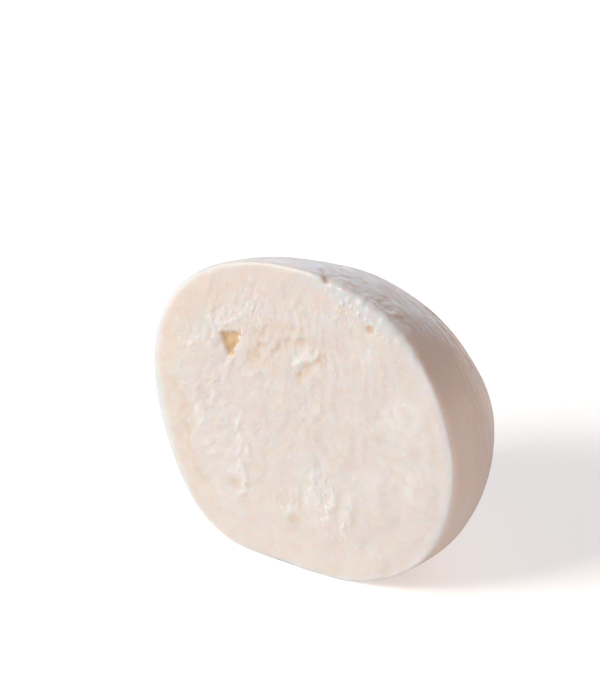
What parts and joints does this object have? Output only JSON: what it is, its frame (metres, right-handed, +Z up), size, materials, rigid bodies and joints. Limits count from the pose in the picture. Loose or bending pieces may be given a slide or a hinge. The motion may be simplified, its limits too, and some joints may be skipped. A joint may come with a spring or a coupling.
{
  "type": "burrata half",
  "caption": "Half of a fresh stretched-curd cheese ball, cut face upright, standing on its slack flattened underside.",
  "frame": {"origin": "on the resting plane, under the middle of the piece's box", "axes": "+Z up; the upright cut face looks along -Y and the skinned dome swells towards +Y"},
  "size_m": [0.0802, 0.0408, 0.0775],
  "materials": {
    "curd": "warm white close curd, moist and softly shining, under a thin smooth wet skin"
  },
  "bodies": {
    "root": {"cheese_half": "curd"}
  },
  "joints": []
}
